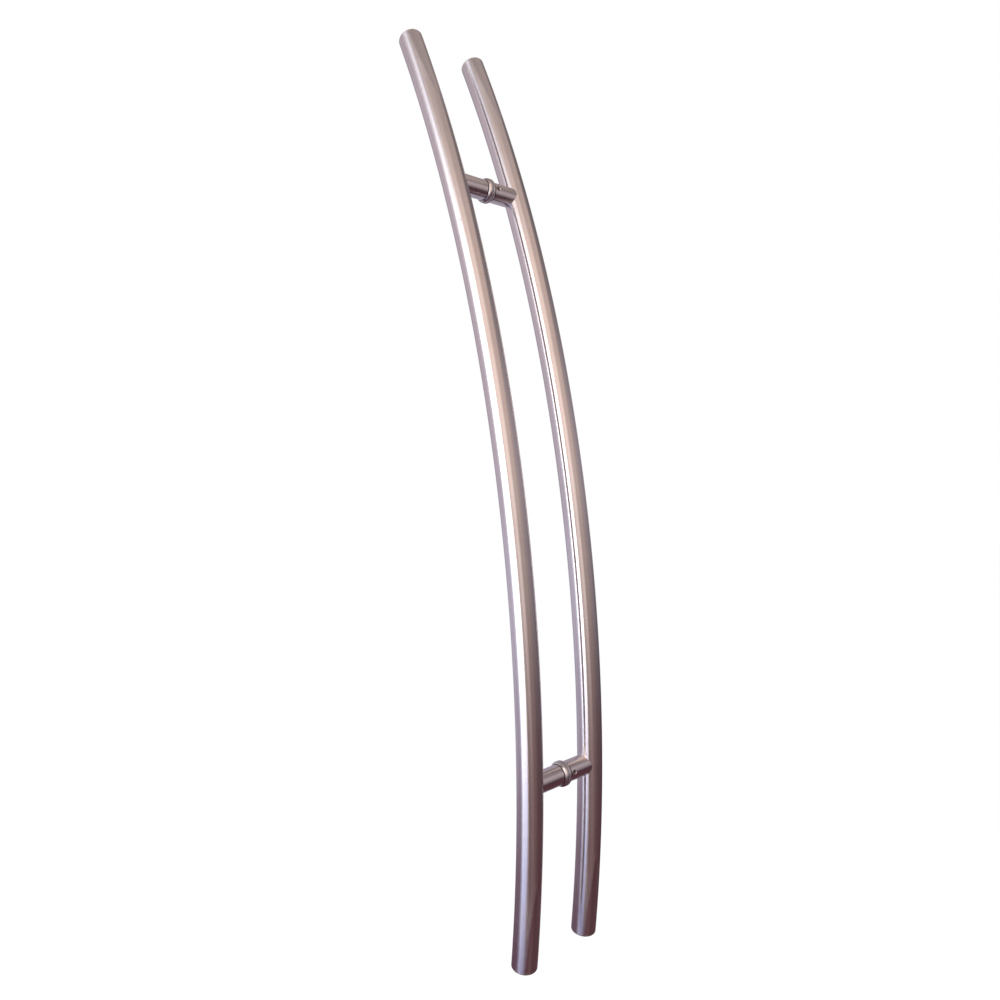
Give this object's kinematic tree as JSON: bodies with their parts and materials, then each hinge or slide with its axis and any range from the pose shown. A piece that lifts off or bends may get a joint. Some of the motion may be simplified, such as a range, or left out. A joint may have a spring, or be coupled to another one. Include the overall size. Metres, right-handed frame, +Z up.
{
  "type": "curved pull handle",
  "caption": "Back-to-back curved round-tube door pull handles, joined through the door by bolted posts with round collars.",
  "frame": {"origin": "midway between the two post axes, on the plane where the two halves meet, which is the middle of the door leaf", "axes": "+Z up along the handle, +Y the door's normal from the near bar to the far bar, +X along the door, the way both bars bow"},
  "size_m": [0.1144, 0.138, 1.193],
  "materials": {
    "bar": "satin, brushed around the tube",
    "cap": "satin, turned",
    "post": "satin, brushed around the tube",
    "collar": "satin to bright, turned",
    "gasket": "soft matt",
    "fixing": "plain turned steel",
    "screw": "plain turned steel"
  },
  "bodies": {
    "root": {"far_bar_lower_cap": "cap", "far_bar_tube": "bar", "far_bar_upper_cap": "cap", "far_lower_post": "post", "far_upper_post": "post", "lower_clamp_bolt": "fixing", "lower_clamp_boss": "collar", "lower_collar_ring": "collar", "lower_far_gasket": "gasket", "lower_near_gasket": "gasket", "lower_set_screw": "screw", "lower_spring_washer": "fixing", "lower_threaded_insert": "fixing", "near_bar_lower_cap": "cap", "near_bar_tube": "bar", "near_bar_upper_cap": "cap", "near_lower_post": "post", "near_upper_post": "post", "upper_clamp_bolt": "fixing", "upper_clamp_boss": "collar", "upper_collar_ring": "collar", "upper_far_gasket": "gasket", "upper_near_gasket": "gasket", "upper_set_screw": "screw", "upper_spring_washer": "fixing", "upper_threaded_insert": "fixing"}
  },
  "joints": []
}
